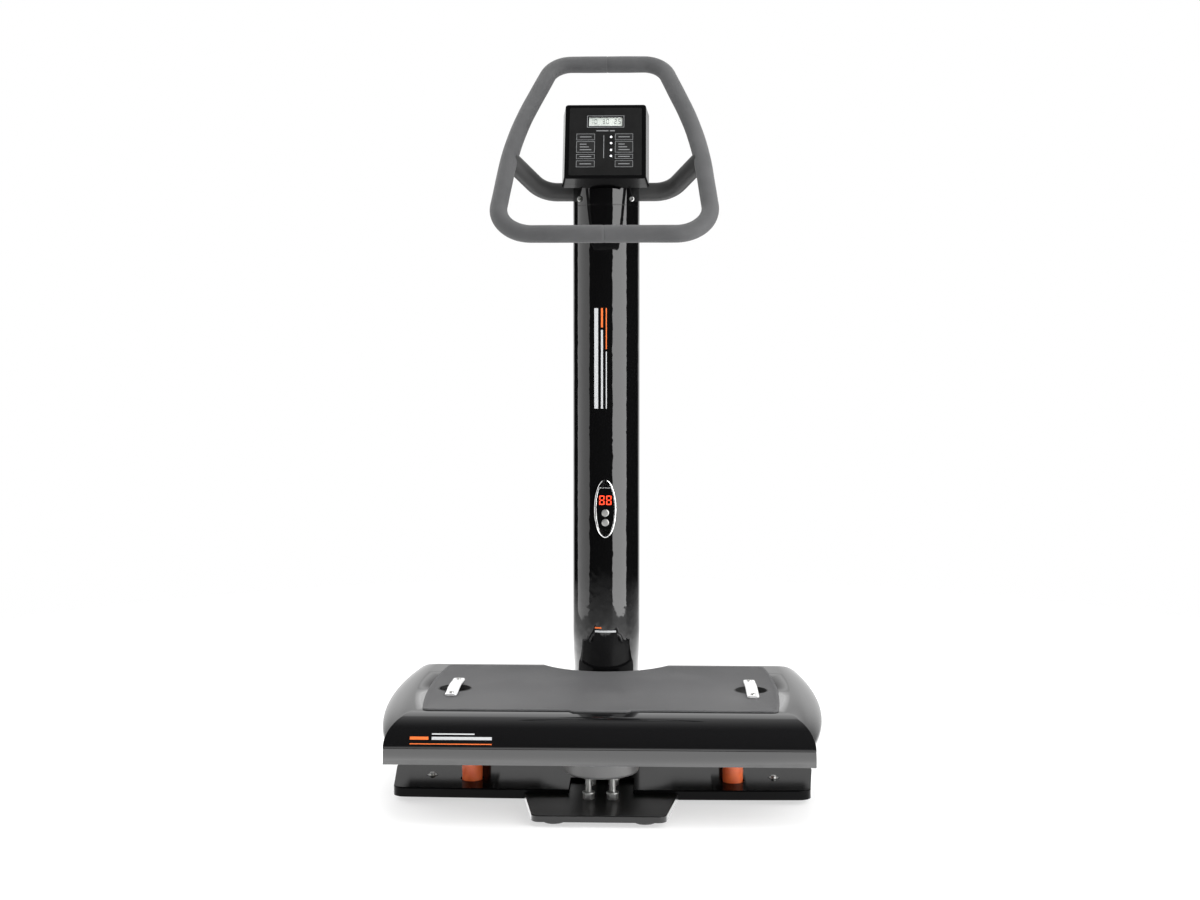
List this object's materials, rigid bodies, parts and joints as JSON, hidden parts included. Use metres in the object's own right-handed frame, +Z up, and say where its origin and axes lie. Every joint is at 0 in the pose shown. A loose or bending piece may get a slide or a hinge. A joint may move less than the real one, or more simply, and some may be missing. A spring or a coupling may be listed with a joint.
{
  "type": "vibration plate",
  "caption": "Free-standing vibration plate: sprung deck with rubber mat over a round exciter, base slab, column with tilted handlebar loop and console.",
  "frame": {"origin": "floor level, middle of the footprint", "axes": "+Z up, +Y from the user to the back of the machine, +X to the right seen from the user"},
  "size_m": [0.8714, 0.74, 1.5013],
  "materials": {
    "plate_black": "satin",
    "cover_black": "gloss",
    "foot_rubber": "matte",
    "zinc_steel": "zinc plated",
    "damper_orange": "matte",
    "exciter_grey": "satin",
    "core_steel": "machined",
    "coil_copper": "enamelled wire",
    "cable_black": "matte",
    "deck_gloss": "gloss",
    "frame_black": "satin",
    "board_ply": "sealed plywood",
    "mat_rubber": "fine textured",
    "cup_black": "matte",
    "strap_steel": "brushed",
    "column_gloss": "gloss lacquer",
    "trim_black": "fine grain",
    "bow_grey": "satin",
    "loop_steel": "plain",
    "foam_grey": "foam skin",
    "console_black": "gloss",
    "overlay_black": "semi-matte film",
    "key_grey": "semi-matte film",
    "lamp_white": "lit",
    "display_glass": "clear",
    "display_panel": "liquid crystal",
    "board_green": "circuit board",
    "bezel_chrome": "polished",
    "window_black": "gloss",
    "digit_red": "lit",
    "button_silver": "satin",
    "chassis_steel": "zinc plated",
    "transformer_iron": "varnished",
    "service_black": "satin",
    "inlet_black": "matte",
    "rocker_red": "gloss",
    "wheel_rubber": "matte"
  },
  "bodies": {
    "stand": {"base_plate": "plate_black", "base_cover": "cover_black", "levelling_feet": "foot_rubber", "foot_studs": "zinc_steel", "wheel_brackets": "frame_black", "wheel_axles": "zinc_steel", "exciter_housing": "exciter_grey", "exciter_core": "core_steel", "exciter_coil": "coil_copper", "exciter_studs": "zinc_steel", "exciter_nuts": "zinc_steel", "exciter_cable": "cable_black", "dampers": "damper_orange", "damper_lower_bolts": "zinc_steel", "column_shell": "column_gloss", "column_foot_flange": "frame_black", "column_foot_bolts": "zinc_steel", "column_foot_trim": "trim_black", "column_head": "column_gloss", "column_screws": "zinc_steel", "bow_tube": "bow_grey", "handlebar_tube": "loop_steel", "handlebar_foam": "foam_grey", "console_front_shell": "console_black", "console_rear_shell": "console_black", "console_overlay": "overlay_black", "console_keys": "key_grey", "console_lamps": "lamp_white", "console_board": "board_green", "console_bracket": "frame_black", "console_screws": "zinc_steel", "display_window": "display_glass", "display_module": "display_panel", "oval_bezel": "bezel_chrome", "oval_window": "window_black", "oval_digits": "digit_red", "oval_board": "board_green", "drive_chassis": "chassis_steel", "drive_transformer": "transformer_iron", "drive_board": "board_green", "cable_loom": "cable_black", "service_cover": "service_black", "mains_inlet": "inlet_black", "switch_frame": "inlet_black"},
    "deck": {"deck_shell": "deck_gloss", "deck_frame": "frame_black", "deck_board": "board_ply", "board_screws": "zinc_steel", "deck_mat": "mat_rubber", "strap_cups": "cup_black", "strap_bars": "strap_steel", "strap_screws": "zinc_steel", "armature_plate": "core_steel", "armature_screws": "zinc_steel", "damper_upper_bolts": "zinc_steel"},
    "up_key": {"up_button": "button_silver"},
    "down_key": {"down_button": "button_silver"},
    "rocker": {"power_rocker": "rocker_red"},
    "left_wheel": {"wheel_left": "wheel_rubber"},
    "right_wheel": {"wheel_right": "wheel_rubber"}
  },
  "joints": [
    {"name": "deck_bounce", "type": "slide", "parent": "stand", "child": "deck", "axis": [0, 0, 1], "range_m": [-0.003, 0.003], "stiffness_N_per_m": 300000, "springref_m": 0.001, "deforming": ["dampers"]},
    {"name": "up_press", "type": "slide", "parent": "stand", "child": "up_key", "axis": [0, 1, 0], "range_m": [0, 0.0008], "stiffness_N_per_m": 400},
    {"name": "down_press", "type": "slide", "parent": "stand", "child": "down_key", "axis": [0, 1, 0], "range_m": [0, 0.0008], "stiffness_N_per_m": 400},
    {"name": "power_switch", "type": "hinge", "parent": "stand", "child": "rocker", "pos_m": [0, 0.2, 0.172], "axis": [1, 0, 0], "range_deg": [-8, 8]},
    {"name": "left_wheel_spin", "type": "hinge", "parent": "stand", "child": "left_wheel", "pos_m": [-0.19, 0.345, 0.028], "axis": [1, 0, 0], "continuous": true},
    {"name": "right_wheel_spin", "type": "hinge", "parent": "stand", "child": "right_wheel", "pos_m": [0.19, 0.345, 0.028], "axis": [1, 0, 0], "continuous": true}
  ]
}
